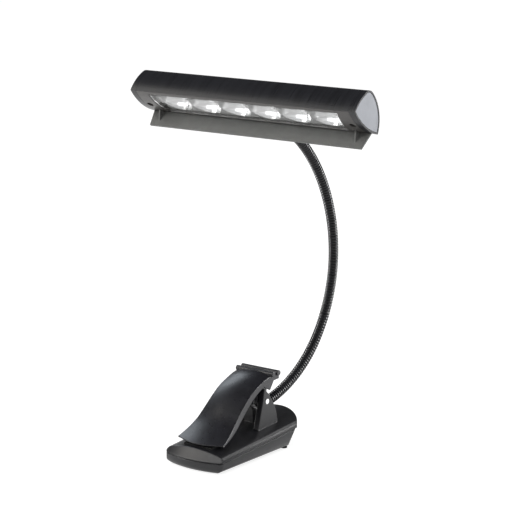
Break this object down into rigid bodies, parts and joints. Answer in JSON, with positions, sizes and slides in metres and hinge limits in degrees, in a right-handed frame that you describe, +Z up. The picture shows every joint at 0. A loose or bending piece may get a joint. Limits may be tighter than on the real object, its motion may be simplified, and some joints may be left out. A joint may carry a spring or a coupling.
{
  "type": "music stand light",
  "caption": "Clip-on music stand light: sprung jaw base, bendable ribbed gooseneck and wide lamp head with reflector bowls behind a clear window and a glare shield.",
  "frame": {"origin": "on the table under the middle of the clip base", "axes": "+Z up, +X along the lamp head, -Y to the jaw's mouth and +Y to the neck's bow"},
  "size_m": [0.194, 0.1738, 0.2628],
  "materials": {
    "satin_black": "satin",
    "dark_plastic": "satin",
    "neck_black": "gloss",
    "rubber": "matte",
    "spring_steel": "satin",
    "polished_steel": "polished",
    "silver_grey": "satin",
    "clear_window": "clear",
    "reflector_chrome": "polished",
    "circuit_board": "satin",
    "led": "gloss",
    "cell_case": "gloss",
    "lead_sheath": "matte"
  },
  "bodies": {
    "base": {"upper_housing": "satin_black", "lower_housing": "dark_plastic", "front_foot": "rubber", "rear_feet": "rubber", "jaw_pad_lower": "rubber", "hinge_pin": "polished_steel", "torsion_spring": "spring_steel", "battery_cells": "cell_case", "contact_springs": "spring_steel", "contact_plates": "spring_steel", "base_board": "circuit_board", "switch_body": "dark_plastic", "dc_jack": "dark_plastic", "housing_screws": "spring_steel", "neck_collar_lower": "dark_plastic", "base_lead": "lead_sheath", "neck_link_01": "neck_black"},
    "battery_door": {"battery_door": "dark_plastic"},
    "power_button": {"power_button": "rubber"},
    "lever": {"clip_lever": "satin_black", "jaw_pad_upper": "rubber"},
    "neck_02": {"neck_link_02": "neck_black"},
    "neck_03": {"neck_link_03": "neck_black"},
    "neck_04": {"neck_link_04": "neck_black"},
    "neck_05": {"neck_link_05": "neck_black"},
    "neck_06": {"neck_link_06": "neck_black"},
    "neck_07": {"neck_link_07": "neck_black"},
    "neck_08": {"neck_link_08": "neck_black"},
    "neck_09": {"neck_link_09": "neck_black"},
    "head": {"neck_link_10": "neck_black", "neck_collar_upper": "dark_plastic", "head_shell": "satin_black", "face_bezel": "dark_plastic", "glare_shield": "dark_plastic", "end_cap_left": "dark_plastic", "end_cap_right": "dark_plastic", "end_plate_left": "silver_grey", "end_plate_right": "silver_grey", "lens_window": "clear_window", "reflector": "reflector_chrome", "led_board": "circuit_board", "leds": "led", "bezel_screws": "spring_steel", "head_lead": "lead_sheath"}
  },
  "joints": [
    {"name": "lever_pivot", "type": "hinge", "parent": "base", "child": "lever", "pos_m": [0, 0.017, 0.03665], "axis": [-1, 0, 0], "range_deg": [0, 28], "stiffness_Nm_per_rad": 0.6, "springref_deg": -40.11},
    {"name": "battery_door_slide", "type": "slide", "parent": "base", "child": "battery_door", "axis": [0, 1, 0], "range_m": [0, 0.058]},
    {"name": "power_button_press", "type": "slide", "parent": "base", "child": "power_button", "axis": [0, -1, 0], "range_m": [0, 0.0008], "stiffness_N_per_m": 800},
    {"name": "neck_bend_01", "type": "hinge", "parent": "base", "child": "neck_02", "pos_m": [0, 0.05225, 0.03289], "axis": [1, 0, 0], "range_deg": [-18, 18]},
    {"name": "neck_bend_02", "type": "hinge", "parent": "neck_02", "child": "neck_03", "pos_m": [0, 0.079, 0.04623], "axis": [0, -0.5736, 0.8192], "range_deg": [-18, 18]},
    {"name": "neck_bend_03", "type": "hinge", "parent": "neck_03", "child": "neck_04", "pos_m": [0, 0.1003, 0.06716], "axis": [1, 0, 0], "range_deg": [-18, 18]},
    {"name": "neck_bend_04", "type": "hinge", "parent": "neck_04", "child": "neck_05", "pos_m": [0, 0.1141, 0.09367], "axis": [0, -0.9455, 0.3256], "range_deg": [-18, 18]},
    {"name": "neck_bend_05", "type": "hinge", "parent": "neck_05", "child": "neck_06", "pos_m": [0, 0.11929, 0.1231], "axis": [1, 0, 0], "range_deg": [-18, 18]},
    {"name": "neck_bend_06", "type": "hinge", "parent": "neck_06", "child": "neck_07", "pos_m": [0, 0.11564, 0.15278], "axis": [0, -0.9659, -0.2588], "range_deg": [-18, 18]},
    {"name": "neck_bend_07", "type": "hinge", "parent": "neck_07", "child": "neck_08", "pos_m": [0, 0.10443, 0.18052], "axis": [1, 0, 0], "range_deg": [-18, 18]},
    {"name": "neck_bend_08", "type": "hinge", "parent": "neck_08", "child": "neck_09", "pos_m": [0, 0.08664, 0.20457], "axis": [0, -0.7193, -0.6947], "range_deg": [-18, 18]},
    {"name": "neck_bend_09", "type": "hinge", "parent": "neck_09", "child": "head", "pos_m": [0, 0.06338, 0.2234], "axis": [1, 0, 0], "range_deg": [-18, 18]}
  ]
}
